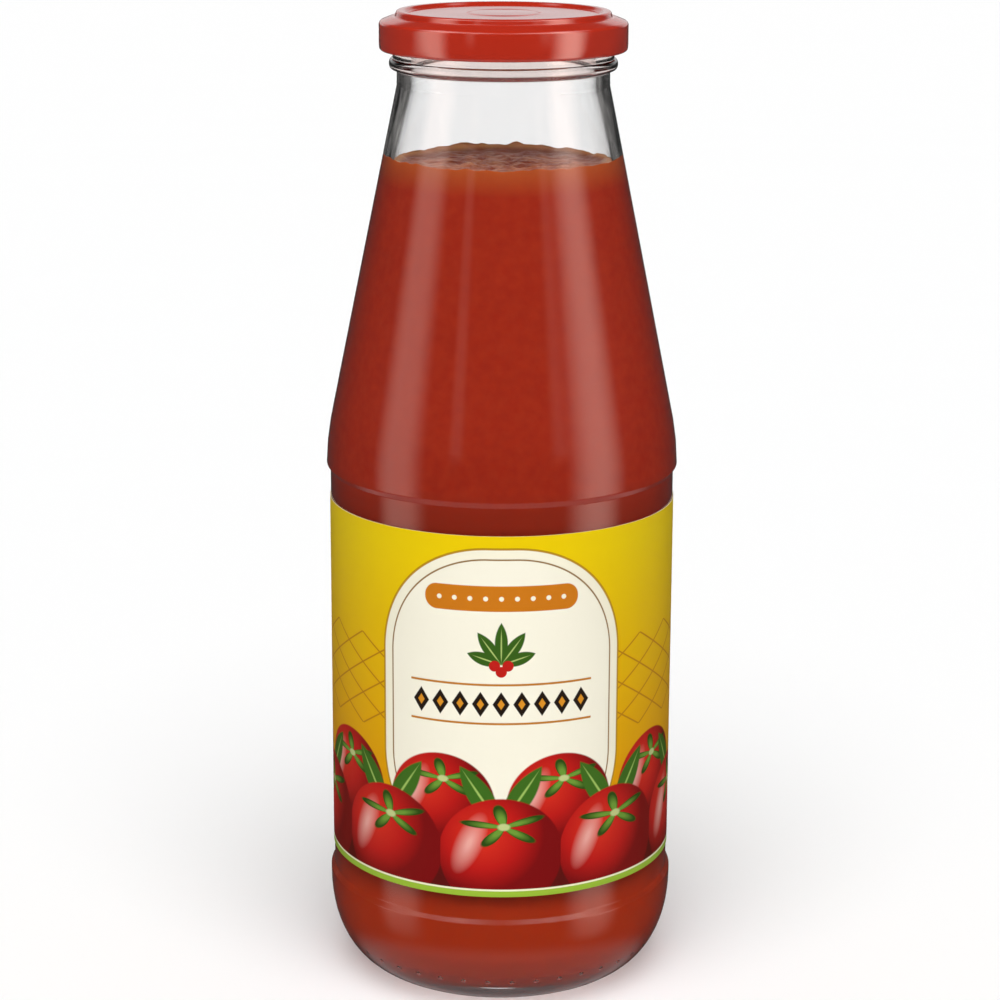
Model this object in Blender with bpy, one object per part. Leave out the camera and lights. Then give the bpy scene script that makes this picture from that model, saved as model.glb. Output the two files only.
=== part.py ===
"""A 720 ml glass bottle of passata with a twist-off lid and a paper label, standing upright.

Four pieces: the hollow glass bottle, the passata inside it up to its fill level, the pressed steel lid
with its rolled hem and lugs, and the paper label in the recessed panel of the glass.
The origin is the centre of the base, +Z is up, and the label's front faces -Y.
Lengths below are in millimetres; MM turns them into Blender's metres.
"""

import math
import random

import bmesh
import bpy

MM = 0.001
STEPS = 48  # facets round every turned piece
GAP = 0.3  # clearance kept between neighbouring pieces
ARC_STEP = math.radians(24)  # one facet of a rounded corner turns by about this much

# Glass, outside
BODY_RADIUS = 40.0  # the two beads that guard the label panel
PANEL_RADIUS = 39.15  # the recessed label panel
PANEL_BOTTOM = 25.0
PANEL_TOP = 118.6
BEAD_LAND = 2.4  # height over which a guarding bead steps down to the panel
HEEL_HEIGHT = 21.5  # the heel's curve, up to the lower bead
HEEL_POWER = 2.15  # 2 would be a true ellipse; a little more is squarer
FOOT_RADIUS = 26.0  # where the heel meets the flat bearing ring
BEARING_INNER_RADIUS = 22.5
PUSH_UP = 3.2  # hollow under the base
CONE_HALF_ANGLE = math.radians(11.5)
CONE_GAUGE_RADIUS = 38.1  # the cone has this radius ...
CONE_GAUGE_HEIGHT = 135.0  # ... at this height
SHOULDER_FILLET = 50.0
NECK_RADIUS = 23.6
NECK_FILLET = 38.0
RING_RADIUS = 25.3  # the transfer ring below the lid
RING_MIDDLE = 210.7
RING_HALF_HEIGHT = 1.25
FINISH_RADIUS = 24.5  # the glass that the lid screws on to
RIM_HEIGHT = 220.1

# Glass, inside
WALL = 2.4
BORE_RADIUS = 20.5
BORE_BOTTOM = 205.5
BASE_THICKNESS = 5.0

# Passata
FILL_LEVEL = 190.0
SURFACE_RINGS = 5
SURFACE_RELIEF = 0.55  # how far the thick surface stands above or below its level
MENISCUS = 0.9  # how far the passata climbs the glass

# Lid
LID_RADIUS = 27.5
LID_BOTTOM = 213.6
LID_TOP = 222.3
SHEET = 0.5  # drawn thicker than the tinplate, so that it stays a sound solid
HEM_WIDTH = 1.5
HEM_HEIGHT = 1.7
LUGS = 4
LUG_REACH = 0.7  # how far a lug stands in from the hem
LUG_HALF_ANGLE = math.radians(14)
LUG_TURN = math.radians(48)  # azimuth of the first lug

# Label
LABEL_BOTTOM = 29.3
LABEL_TOP = 113.0
LABEL_SHEET = 0.2
LABEL_SEAM = math.radians(1.5)  # the slit left where the two ends meet, at the back


def clear_scene():
    for thing in list(bpy.data.objects):
        bpy.data.objects.remove(thing)


def finish(name, colour, roughness, metallic=0.0, transmission=0.0):
    """A plain Principled material."""
    material = bpy.data.materials.new(name)
    material.use_nodes = True
    shader = material.node_tree.nodes["Principled BSDF"]
    shader.inputs["Base Color"].default_value = (*colour, 1.0)
    shader.inputs["Roughness"].default_value = roughness
    shader.inputs["Metallic"].default_value = metallic
    shader.inputs["Transmission Weight"].default_value = transmission
    return material


def rounded(corners):
    """The outline through (radius, height, fillet) corners, with each fillet drawn as an arc."""
    outline = [corners[0][:2]]
    for before, corner, after in zip(corners, corners[1:], corners[2:]):
        r, z, fillet = corner
        to_before = math.atan2(before[1] - z, before[0] - r)
        to_after = math.atan2(after[1] - z, after[0] - r)
        opening = (to_after - to_before + math.pi) % math.tau - math.pi
        turn = math.pi - abs(opening)
        if fillet == 0 or turn < 1e-6:
            outline.append((r, z))
            continue
        facets = max(1, round(turn / ARC_STEP))
        if fillet > 10:
            facets += 2
        middle = to_before + opening / 2
        reach = fillet / math.cos(turn / 2)
        centre = (r + reach * math.cos(middle), z + reach * math.sin(middle))
        start = middle + math.pi + math.copysign(turn / 2, opening)
        for i in range(facets + 1):
            angle = start - math.copysign(turn * i / facets, opening)
            outline.append((centre[0] + fillet * math.cos(angle), centre[1] + fillet * math.sin(angle)))
    outline.append(corners[-1][:2])
    return outline


def heel_curve(facets):
    """A quarter of a slightly squared ellipse, from flat on the ground to upright at the lower bead."""
    points = []
    for i in range(facets + 1):
        angle = math.pi / 2 * i / facets
        out = math.sin(angle) ** (2 / HEEL_POWER)
        up = 1 - math.cos(angle) ** (2 / HEEL_POWER)
        points.append((FOOT_RADIUS + (BODY_RADIUS - FOOT_RADIUS) * out, HEEL_HEIGHT * up))
    return points


def cone_radius(height):
    return CONE_GAUGE_RADIUS - (height - CONE_GAUGE_HEIGHT) * math.tan(CONE_HALF_ANGLE)


def cone_height(radius):
    return CONE_GAUGE_HEIGHT + (CONE_GAUGE_RADIUS - radius) / math.tan(CONE_HALF_ANGLE)


def outer_glass():
    """The outside of the bottle, from the middle of the base up to the rim."""
    base = rounded([
        (0, PUSH_UP, 0),
        (BEARING_INNER_RADIUS - 3.5, PUSH_UP - 0.6, 3.0),
        (BEARING_INNER_RADIUS, 0, 0),
    ])
    ring_bottom = RING_MIDDLE - RING_HALF_HEIGHT
    ring_top = RING_MIDDLE + RING_HALF_HEIGHT
    side = rounded([
        (BODY_RADIUS, PANEL_BOTTOM - BEAD_LAND - 1.0, 0),
        (BODY_RADIUS, PANEL_BOTTOM - BEAD_LAND, 2.0),
        (PANEL_RADIUS, PANEL_BOTTOM, 2.0),
        (PANEL_RADIUS, PANEL_TOP, 2.0),
        (BODY_RADIUS, PANEL_TOP + BEAD_LAND, 2.0),
        (BODY_RADIUS, cone_height(BODY_RADIUS), SHOULDER_FILLET),
        (NECK_RADIUS, cone_height(NECK_RADIUS), NECK_FILLET),
        (NECK_RADIUS, ring_bottom, 0.5),
        (RING_RADIUS, ring_bottom, 1.1),
        (RING_RADIUS, ring_top, 1.1),
        (FINISH_RADIUS, ring_top, 0.4),
        (FINISH_RADIUS, RIM_HEIGHT, 1.2),
        ((FINISH_RADIUS + BORE_RADIUS) / 2, RIM_HEIGHT, 0),
    ])
    return base + heel_curve(8) + side


def inner_glass():
    """The inside of the bottle, from the rim down to the middle of the base."""
    floor = PUSH_UP + BASE_THICKNESS
    return rounded([
        ((FINISH_RADIUS + BORE_RADIUS) / 2, RIM_HEIGHT, 0),
        (BORE_RADIUS, RIM_HEIGHT, 1.2),
        (BORE_RADIUS, BORE_BOTTOM, 12.0),
        (cone_radius(FILL_LEVEL + 2) - WALL - 0.3, FILL_LEVEL + 2, 20.0),
        (PANEL_RADIUS - WALL, cone_height(PANEL_RADIUS), SHOULDER_FILLET),
        (PANEL_RADIUS - WALL, HEEL_HEIGHT + 1.0, 12.0),
        (FOOT_RADIUS + 5.5, floor + 3.5, 9.0),
        (FOOT_RADIUS - 4.0, floor - 0.6, 12.0),
        (0, floor, 0),
    ])


def shrink(outline, gap):
    """A (radius, height) outline that runs down a wall, moved away from the wall by gap, towards the axis."""
    moved = []
    for i, (r, z) in enumerate(outline):
        before = outline[max(0, i - 1)]
        after = outline[min(len(outline) - 1, i + 1)]
        along = (after[0] - before[0], after[1] - before[1])
        length = math.hypot(*along)
        moved.append((r + gap * along[1] / length if r else 0.0, z - gap * along[0] / length))
    return moved


def turned(name, outline, material):
    """A solid of revolution about Z, from an outline that starts and ends on the axis."""
    bm = bmesh.new()
    verts = [bm.verts.new((r * MM, 0, z * MM)) for r, z in outline]
    edges = [bm.edges.new(pair) for pair in zip(verts, verts[1:])]
    bmesh.ops.spin(
        bm, geom=verts + edges, cent=(0, 0, 0), axis=(0, 0, 1), angle=math.tau, steps=STEPS, use_merge=True
    )
    return solid(name, bm, material)


def solid(name, bm, material):
    bmesh.ops.remove_doubles(bm, verts=bm.verts, dist=0.01 * MM)
    bmesh.ops.recalc_face_normals(bm, faces=bm.faces)
    mesh = bpy.data.meshes.new(name)
    bm.to_mesh(mesh)
    bm.free()
    mesh.materials.append(material)
    mesh.shade_smooth()
    mesh.set_sharp_from_angle(angle=math.radians(35))
    thing = bpy.data.objects.new(name, mesh)
    bpy.context.scene.collection.objects.link(thing)
    return thing


def bottle_glass():
    outline = outer_glass() + inner_glass()[1:]
    glass = finish("clear_flint_glass", (0.86, 0.90, 0.88), 0.03, transmission=1.0)
    return turned("bottle_glass", outline, glass)


def surface_waves():
    """The uneven top of the thick passata: a seeded sum of slow ripples, as (count, phase, share)."""
    draw = random.Random(7)
    return [(draw.choice((2, 3, 4, 5)), draw.uniform(0, math.tau), draw.uniform(0.5, 1.0)) for _ in range(6)]


def passata():
    """Fills the glass up to the fill level, with a lumpy surface that climbs a little at the wall."""
    wall = [p for p in shrink(inner_glass(), GAP) if p[1] < FILL_LEVEL - 1.0]
    rim_radius = cone_radius(FILL_LEVEL) - WALL - 0.3 - 2 * GAP
    top = []
    for i in range(SURFACE_RINGS + 1):
        share = i / SURFACE_RINGS
        top.append((rim_radius * share, FILL_LEVEL + MENISCUS * share**6))
    sauce = finish("passata", (0.42, 0.045, 0.018), 0.35)
    body = turned("passata", top + wall, sauce)
    waves = surface_waves()
    for vertex in body.data.vertices:
        radius = math.hypot(vertex.co.x, vertex.co.y) / MM
        if vertex.co.z / MM < FILL_LEVEL - 0.5 or radius > rim_radius + 0.1:
            continue
        azimuth = math.atan2(vertex.co.y, vertex.co.x)
        swing = sum(
            share * math.sin(count * azimuth + phase + radius * 0.3) for count, phase, share in waves
        )
        vertex.co.z += SURFACE_RELIEF * swing / 3 * min(1.0, radius / 6) * MM
    return body


def lug_share(azimuth):
    """1 in the middle of a lug, falling smoothly to 0 at its ends."""
    pitch = math.tau / LUGS
    away = (azimuth - LUG_TURN + pitch / 2) % pitch - pitch / 2
    if abs(away) >= LUG_HALF_ANGLE:
        return 0.0
    return 0.5 + 0.5 * math.cos(math.pi * away / LUG_HALF_ANGLE)


def lid():
    """Pressed steel cap: a rolled hem, an upright skirt, a sloping shoulder and a panel inside a raised ring."""
    outside = rounded([
        (LID_RADIUS - HEM_WIDTH / 2, LID_BOTTOM, 0),
        (LID_RADIUS, LID_BOTTOM, 0.7),
        (LID_RADIUS, LID_TOP - 2.3, 0.8),
        (LID_RADIUS - 2.9, LID_TOP - 1.2, 0),
        (LID_RADIUS - 3.4, LID_TOP - 1.3, 0),
        (LID_RADIUS - 3.9, LID_TOP, 0.4),
        (LID_RADIUS - 5.2, LID_TOP, 0.4),
        (LID_RADIUS - 6.0, LID_TOP - 0.9, 0),
        (0, LID_TOP - 0.9, 0),
    ])
    under = LID_TOP - 0.9 - SHEET
    inside = rounded([
        (0, under, 0),
        (LID_RADIUS - 5.9, under, 0),
        (LID_RADIUS - 5.1, LID_TOP - SHEET, 0),
        (LID_RADIUS - 4.3, LID_TOP - SHEET, 0),
        (LID_RADIUS - 3.6, LID_TOP - 1.3 - SHEET, 0),
        (LID_RADIUS - 3.0, LID_TOP - 1.3 - SHEET, 0),
        (LID_RADIUS - SHEET, LID_TOP - 2.4 - SHEET, 0.4),
        (LID_RADIUS - SHEET, LID_BOTTOM + HEM_HEIGHT, 0),
        (LID_RADIUS - HEM_WIDTH, LID_BOTTOM + HEM_HEIGHT - 0.3, 0),
        (LID_RADIUS - HEM_WIDTH, LID_BOTTOM, 0.6),
        (LID_RADIUS - HEM_WIDTH / 2, LID_BOTTOM, 0),
    ])
    red = finish("red_lacquered_tinplate", (0.50, 0.03, 0.012), 0.22)
    cap = turned("lid", inside + outside[1:], red)
    for vertex in cap.data.vertices:
        share = lug_share(math.atan2(vertex.co.y, vertex.co.x))
        if share and vertex.co.z < (LID_BOTTOM + HEM_HEIGHT + 0.1) * MM:
            radius = math.hypot(vertex.co.x, vertex.co.y)
            inward = radius < (LID_RADIUS - HEM_WIDTH / 2) * MM
            pulled = radius - share * (LUG_REACH if inward else LUG_REACH / 3) * MM
            vertex.co.x *= pulled / radius
            vertex.co.y *= pulled / radius
    return cap


def label():
    """A strip of paper bent round the panel, its ends almost meeting at the back."""
    inner = (PANEL_RADIUS + GAP) * MM
    outer = inner + LABEL_SHEET * MM
    bottom = LABEL_BOTTOM * MM
    top = LABEL_TOP * MM
    start = math.pi / 2 + LABEL_SEAM / 2
    section = [(inner, bottom), (outer, bottom), (outer, top), (inner, top)]
    bm = bmesh.new()
    corners = [bm.verts.new((r * math.cos(start), r * math.sin(start), z)) for r, z in section]
    end = bm.faces.new(corners)
    bmesh.ops.spin(bm, geom=[end], cent=(0, 0, 0), axis=(0, 0, 1), angle=math.tau - LABEL_SEAM, steps=STEPS)
    paper = finish("printed_paper", (0.80, 0.62, 0.02), 0.45)
    return solid("label", bm, paper)


def main():
    clear_scene()
    bottle_glass()
    passata()
    lid()
    label()


main()
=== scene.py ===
# %% [markdown]
# # A glass bottle of passata
#
# The object is a clear glass bottle of sieved tomatoes, with a twist-off lid of lacquered tinplate and
# a paper label. Its CAD model has the right sizes but few facets and plain colours. This lesson loads it
# as a frame, turns finer pieces on the same sizes, and gives each one the finish of its real material.

# %% Load the measured frame
import math

import bmesh
import bpy
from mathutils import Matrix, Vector, noise


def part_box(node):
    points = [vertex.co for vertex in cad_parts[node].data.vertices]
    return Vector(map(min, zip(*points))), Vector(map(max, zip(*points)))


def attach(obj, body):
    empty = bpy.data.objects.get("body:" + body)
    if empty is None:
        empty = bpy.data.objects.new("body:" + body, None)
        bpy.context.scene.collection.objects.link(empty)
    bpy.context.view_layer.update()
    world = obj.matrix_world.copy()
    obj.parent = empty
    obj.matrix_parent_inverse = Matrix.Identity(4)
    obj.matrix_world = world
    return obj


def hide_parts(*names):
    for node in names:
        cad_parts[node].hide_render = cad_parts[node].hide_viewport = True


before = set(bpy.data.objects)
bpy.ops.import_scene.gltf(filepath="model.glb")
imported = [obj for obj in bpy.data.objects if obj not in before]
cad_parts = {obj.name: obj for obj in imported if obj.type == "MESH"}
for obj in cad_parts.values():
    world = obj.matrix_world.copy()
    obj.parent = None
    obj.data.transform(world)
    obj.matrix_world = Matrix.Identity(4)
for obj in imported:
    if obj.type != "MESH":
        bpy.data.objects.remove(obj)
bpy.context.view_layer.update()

MM = 0.001
print("CAD nodes:", ", ".join(sorted(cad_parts)))

# %% [markdown]
# ## Sizes
#
# The outer sizes are read from the CAD nodes, so that the finer pieces sit exactly where the solids do.
# The few sizes that a box can't tell, such as the thickness of the wall, are the numbers the solids were
# made with. All are in millimetres.

# %% Read the sizes
glass_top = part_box("bottle_glass")[1].z / MM
body_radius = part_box("bottle_glass")[1].x / MM
lid_low, lid_high = (corner.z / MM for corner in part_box("lid"))
lid_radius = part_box("lid")[1].x / MM
label_low, label_high = (corner.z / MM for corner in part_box("label"))
label_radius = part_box("label")[1].x / MM
fill_level = 190.0
foot_radius = 26.0  # where the heel's curve leaves the ring that the bottle stands on
heel_height = 21.5  # where it meets the lower bead
panel_radius = 39.15  # the recess for the label
neck_radius = 23.6
ring_radius = 25.3  # the transfer ring under the lid
finish_radius = 24.5  # the glass inside the lid
rim_radius = 22.5  # the middle of the rim's flat top
bore_radius = 20.5
wall = 2.4  # at the label panel
cone_wall = wall + 0.3
print(f"glass: {2 * body_radius:.1f} mm across, {glass_top:.1f} mm tall")
print(f"lid: {2 * lid_radius:.1f} mm across")

# %% [markdown]
# ## Turning
#
# Everything here was made round: blown in a mould, pressed or wrapped. So one way of working makes every
# piece. A few corners are laid down as a wire, the bevel operator rounds each corner to a true arc, and
# the spin operator turns the wire into a surface. A lathe works the same way, and a change to one number
# changes the whole ring.

# %% Lay an outline and turn it
STEPS = 180


def rounded_wire(bm, corners, finest=6):
    """Lays (radius, height, fillet) corners in mm as a wire, and rounds each one that has a fillet."""
    places = [Vector((r * MM, 0, z * MM)) for r, z, _ in corners]
    points = [bm.verts.new(place) for place in places]
    for pair in zip(points, points[1:]):
        bm.edges.new(pair)
    for i in range(1, len(corners) - 1):
        turn = (places[i] - places[i - 1]).angle(places[i + 1] - places[i])
        if not corners[i][2] or turn < 0.001:
            continue
        bmesh.ops.bevel(
            bm,
            geom=[points[i]],
            offset=corners[i][2] * MM * math.tan(turn / 2),
            offset_type="OFFSET",
            segments=max(2, math.ceil(math.degrees(turn) / finest)),
            profile=0.5,
            affect="VERTICES",
            material=-1,
        )


def spin_wire(bm):
    """Turns all that is in the bmesh once round the bottle's axis, and closes the seam and the poles."""
    bmesh.ops.spin(
        bm,
        geom=bm.verts[:] + bm.edges[:],
        cent=(0, 0, 0),
        axis=(0, 0, 1),
        angle=math.tau,
        steps=STEPS,
        use_merge=True,
    )
    bmesh.ops.remove_doubles(bm, verts=bm.verts, dist=0.002 * MM)
    bmesh.ops.recalc_face_normals(bm, faces=bm.faces)


def finished_piece(name, bm, node, sharp=40):
    """Makes the bmesh an object that stands for a CAD node and rides on the bottle's one body."""
    mesh = bpy.data.meshes.new(name)
    bm.to_mesh(mesh)
    bm.free()
    mesh.shade_smooth()
    mesh.set_sharp_from_angle(angle=math.radians(sharp))
    piece = bpy.data.objects.new(name, mesh)
    bpy.context.scene.collection.objects.link(piece)
    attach(piece, "root")
    if node:
        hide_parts(node)
    print(f"{name}: {len(mesh.polygons)} faces")
    return piece


# %% [markdown]
# ## The glass
#
# The bottle is blown, so its wall is thinnest at the label and thicker at the heel and in the neck, and
# every edge is soft. Two beads, one on the shoulder and one at the heel, stand a little proud of the
# label panel and keep it from rubbing in the crate. The neck has a transfer ring, which the factory's
# grippers hold. The outside and the inside are one closed wire, because glass only bends light properly
# when the surface closes round it.

# %% The slopes of the glass
CONE = math.tan(math.radians(11.5))


def cone_radius(height):
    return 38.1 - (height - 135.0) * CONE


def cone_height(radius):
    return 135.0 + (38.1 - radius) / CONE


def heel_points(facets=16, squareness=0.93):
    """The heel is a quarter of an ellipse, a little squared, from the foot ring up to the lower bead."""
    points = []
    for i in range(facets):
        angle = math.pi / 2 * i / facets
        out, up = math.sin(angle) ** squareness, 1 - math.cos(angle) ** squareness
        points.append((foot_radius + (body_radius - foot_radius) * out, heel_height * up, 0))
    return points


print(f"cone: {math.degrees(math.atan(CONE)):.1f} degrees a side, up to {cone_height(neck_radius):.0f} mm")

# %% The outside and the inside of the glass


def outside_of_glass():
    """The outer wall from the middle of the base to the middle of the rim."""
    base = [(0, 3.2, 0), (19.0, 2.6, 3.0), (22.5, 0, 0.6)]
    lower_bead = [(body_radius, heel_height, 0), (body_radius, 22.7, 0.5), (panel_radius, 23.9, 0.8)]
    upper_bead = [(panel_radius, 119.2, 0.5), (body_radius, 120.5, 0.8)]
    cone = [(body_radius, cone_height(body_radius), 50.0), (neck_radius, cone_height(neck_radius), 38.0)]
    mould_line = [(neck_radius, 206.0, 0.8), (neck_radius + 0.05, 206.5, 0.8), (neck_radius, 207.0, 0.8)]
    ring = [(neck_radius, 209.45, 0.5), (ring_radius, 209.45, 1.1), (ring_radius, 211.95, 1.1)]
    finish = [(finish_radius, 211.95, 0.4), (finish_radius, glass_top, 1.2), (rim_radius, glass_top, 0)]
    return [*base, *heel_points(), *lower_bead, *upper_bead, *cone, *mould_line, *ring, *finish]


def inside_of_glass(outward=0.0):
    """The inner wall from the rim to the middle of the floor, moved outward into the glass if asked."""
    return [
        (rim_radius, glass_top, 0),
        (bore_radius + outward, glass_top, 1.2),
        (bore_radius + outward, 205.5, 12.0),
        (cone_radius(fill_level + 2) - cone_wall + outward, fill_level + 2, 20.0),
        (panel_radius - wall + outward, cone_height(panel_radius), 50.0),
        (panel_radius - wall + outward, 22.5, 12.0),
        (32.4 + outward, 9.5 - outward, 9.0),
        (23.0, 5.9 - outward, 14.0),
        (0, 7.2 - outward, 0),
    ]


print("corners outside:", len(outside_of_glass()), "inside:", len(inside_of_glass()))

# %% [markdown]
# The two walls share the rim's middle point, so the second starts after it. The finished surface is cut
# round at the fill level and at the foot of the ring. The cuts don't change the shape, but they let the
# bare inner wall between them have a finish of its own.

# %% Turn the glass
bm = bmesh.new()
rounded_wire(bm, outside_of_glass() + inside_of_glass()[1:])
spin_wire(bm)
wet_line, ring_foot = (fill_level - 4) * MM, 209.4 * MM
for height in (wet_line, ring_foot):
    everything = bm.verts[:] + bm.edges[:] + bm.faces[:]
    bmesh.ops.bisect_plane(bm, geom=everything, plane_co=(0, 0, height), plane_no=(0, 0, 1))
glass = finished_piece("glass_bottle", bm, "bottle_glass")

# %% [markdown]
# ## The passata
#
# Sieved tomato is opaque, so it shows as the colour of the glass's inner wall. If it stopped short of
# that wall, the air gap would show as a silvery film. So the sauce reaches a third of a millimetre into
# the glass. Its top was shaken and has settled unevenly: the lumpy middle is a little sunken, and round
# it the sauce climbs the wall with a ragged edge. The noise that makes them is the same in every run.

# %% Turn the sauce and rumple its top
REACH = 0.35
SUNK = 1.2
CLIMB = 2.2
CLIMBS_FROM = 20.5


def rough_top(place):
    """How far in mm the top stands off its level at a place in mm: lumps, grains, and a climb at the edge."""
    lumps = noise.fractal(place * 0.22, 0.9, 2.1, 4, noise_basis="PERLIN_ORIGINAL")
    grains = noise.noise(place * 1.3)
    radius = place.to_2d().length
    edge = max(0.0, (radius - CLIMBS_FROM) / 5.0)
    back = 0.5 + 0.5 * place.y / max(radius, 1)
    climb = edge**2 * (CLIMB + 1.3 * back * noise.noise(place * 0.35))
    return 0.7 * lumps * (1 - 0.6 * min(edge, 1)) + 0.2 * grains * (1 - min(edge, 1)) + climb - SUNK


bm = bmesh.new()
rim = cone_radius(fill_level) - cone_wall + REACH
sauce_wall = [corner for corner in inside_of_glass(REACH) if corner[1] < fill_level - 1]
top = [(rim * i / 60, fill_level, 0) for i in range(61)]
below_rim = (rim + 0.6 * CONE, fill_level - 0.6, 0)
rounded_wire(bm, [*top, below_rim, *sauce_wall])
spin_wire(bm)
for vert in bm.verts:
    if vert.co.z > (fill_level - 0.01) * MM:
        vert.co.z += rough_top(vert.co / MM) * MM
bmesh.ops.recalc_face_normals(bm, faces=bm.faces)
sauce = finished_piece("passata_fill", bm, "passata", sharp=50)

# %% [markdown]
# ## The lid
#
# A twist-off lid is pressed from tinplate a fifth of a millimetre thick. Its edge is curled outward and
# under, so that it can't cut, and is pinched inward in four places to make lugs that grip the glass's
# threads. The top has a raised ring that stacks with other lids, a flat panel inside it, and a button
# that pops up when the seal is broken.

# %% Turn the lid and pinch its lugs
LUG_TURN = math.radians(48)
LUG_HALF_WIDTH = math.radians(14)
LUG_DEPTH = 0.8


def lid_corners():
    """The outside of the sheet from the button to the curled edge, and the inside back to the middle."""
    r, top, low = lid_radius, lid_high, lid_low
    outside = [
        (0, top - 0.5, 0),
        (7.4, top - 0.5, 0.8),
        (8.4, top - 0.7, 0.8),
        (r - 6.1, top - 0.7, 0.4),
        (r - 5.5, top, 0.5),
        (r - 3.9, top, 0.6),
        (r - 3.5, top - 1.35, 0.3),
        (r - 2.9, top - 1.25, 0.4),
        (r, top - 2.4, 0.9),
        (r, low + 1.6, 1.2),
        (r - 0.1, low, 0.78),
        (r - 1.6, low, 0.7),
        (r - 1.6, low + 1.7, 0.7),
        (r - 0.3, low + 1.9, 0.3),
    ]
    inside = [
        (r - 0.3, top - 2.7, 0.6),
        (r - 3.1, top - 1.65, 0.3),
        (r - 3.8, top - 1.7, 0.2),
        (r - 4.2, top - 0.35, 0.3),
        (r - 5.2, top - 0.35, 0.3),
        (r - 5.9, top - 1.05, 0.3),
        (8.4, top - 1.05, 0.8),
        (7.4, top - 0.85, 0.8),
        (0, top - 0.85, 0),
    ]
    return outside + inside


def pinch(azimuth):
    """1 in the middle of a lug, falling smoothly to 0 at its ends."""
    away = (azimuth - LUG_TURN + math.pi / 4) % (math.pi / 2) - math.pi / 4
    return 0.5 + 0.5 * math.cos(math.pi * away / LUG_HALF_WIDTH) if abs(away) < LUG_HALF_WIDTH else 0.0


bm = bmesh.new()
rounded_wire(bm, lid_corners(), finest=12)
spin_wire(bm)
for vert in bm.verts:
    radius = vert.co.to_2d().length
    if vert.co.z < (lid_low + 2.0) * MM:
        inner = max(0.0, min(1.0, (lid_radius * MM - radius) / (1.6 * MM)))
        pull = pinch(math.atan2(vert.co.y, vert.co.x)) * (0.25 + 0.75 * inner) * LUG_DEPTH * MM
        vert.co.x *= 1 - pull / radius
        vert.co.y *= 1 - pull / radius
bmesh.ops.recalc_face_normals(bm, faces=bm.faces)
lid = finished_piece("twist_off_lid", bm, "lid", sharp=50)

# %% [markdown]
# ## The label
#
# The label is one strip of coated paper glued round the panel. At the back its end laps over its start.
# It could be a tube, but a strip with a lap shows the real seam. So a short section is spun almost once
# round, and the last few degrees climb over the first.

# %% Wrap the strip and lap its ends
PAPER = 0.11
LAP = math.radians(7)
label_inner = label_radius - 0.4

bm = bmesh.new()
start = math.pi / 2 - LAP / 2
heading = Vector((math.cos(start), math.sin(start), 0))
corners = [
    bm.verts.new(heading * (label_inner + out) * MM + Vector((0, 0, up * MM)))
    for out, up in ((0, label_low), (PAPER, label_low), (PAPER, label_high), (0, label_high))
]
strip_end = bm.faces.new(corners)
bmesh.ops.spin(
    bm, geom=[strip_end], cent=(0, 0, 0), axis=(0, 0, 1), angle=math.tau + LAP, steps=STEPS
)
bm.verts.ensure_lookup_table()
for number, vert in enumerate(bm.verts):
    turned = number // 4 / STEPS * (math.tau + LAP)
    past = (turned - (math.tau - LAP)) / LAP
    if past > 0:
        lift = min(1.0, past) * (PAPER + 0.02)
        radius = vert.co.to_2d().length
        vert.co.x *= 1 + lift * MM / radius
        vert.co.y *= 1 + lift * MM / radius
bmesh.ops.recalc_face_normals(bm, faces=bm.faces)
label = finished_piece("paper_label", bm, "label")

# %% [markdown]
# ## Materials
#
# Each finish is named for what the real thing is made of. The helpers turn the sRGB hex colours that
# people write into the linear numbers that Blender computes with, add a node with its settings and
# inputs, start an empty material, and give a finished one to its piece.

# %% Colour and node helpers


def to_linear(hex_colour):
    """An sRGB colour such as "c83214" as linear red, green, blue and an alpha of 1."""
    parts = [int(hex_colour[i : i + 2], 16) / 255 for i in (0, 2, 4)]
    return (*[p / 12.92 if p <= 0.04045 else ((p + 0.055) / 1.055) ** 2.4 for p in parts], 1.0)


def add(tree, kind, inputs=None, stops=(), **settings):
    """Adds a node, sets what settings name, gives each input a value or a link, and fills a colour ramp."""
    node = tree.nodes.new("ShaderNode" + kind)
    for name, value in settings.items():
        setattr(node, name, value)
    for key, value in (inputs or {}).items():
        if isinstance(value, bpy.types.NodeSocket):
            tree.links.new(value, node.inputs[key])
        else:
            node.inputs[key].default_value = to_linear(value) if isinstance(value, str) else value
    for _ in stops[2:]:
        node.color_ramp.elements.new(1.0)
    for number, (position, colour) in enumerate(stops):
        element = node.color_ramp.elements[number]
        element.position = position
        element.color = to_linear(colour) if isinstance(colour, str) else colour
    return node


def new_finish(name):
    """An empty material and its node tree."""
    material = bpy.data.materials.new(name)
    material.use_nodes = True
    material.node_tree.nodes.clear()
    return material, material.node_tree


def give_finish(piece, material, shader):
    """Ends the material with its shader and adds it to the piece."""
    add(material.node_tree, "OutputMaterial", {"Surface": shader.outputs[0]})
    piece.data.materials.append(material)
    print(f"{material.name}: {len(material.node_tree.nodes)} nodes, for {piece.name}")


# %% [markdown]
# ### Flint glass
#
# Clear container glass is soda-lime glass, with an index of refraction of about 1.52. Blown glass is
# never quite even: a faint bump, stretched to some 20 mm across and 70 mm down, makes the reflections
# waver. Low on the heel runs a ring of small raised dots. A dot is less than a millimetre across, so a
# bump draws it well enough.

# %% Waver and dots
GLASS_IOR = 1.52
DOTS = 42
DOT_HEIGHT = 7.5
DOT_RING = 30.0

flint_glass, tree = new_finish("flint_glass")
object_place = add(tree, "TexCoord").outputs["Object"]
stretch = add(tree, "Mapping", {"Vector": object_place, "Scale": (50, 50, 14)})
waver = add(tree, "TexNoise", {"Vector": stretch.outputs[0], "Scale": 1.0, "Detail": 1.0})
wavy = add(tree, "Bump", {"Height": waver.outputs[0], "Strength": 0.06, "Distance": 0.002})

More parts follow.
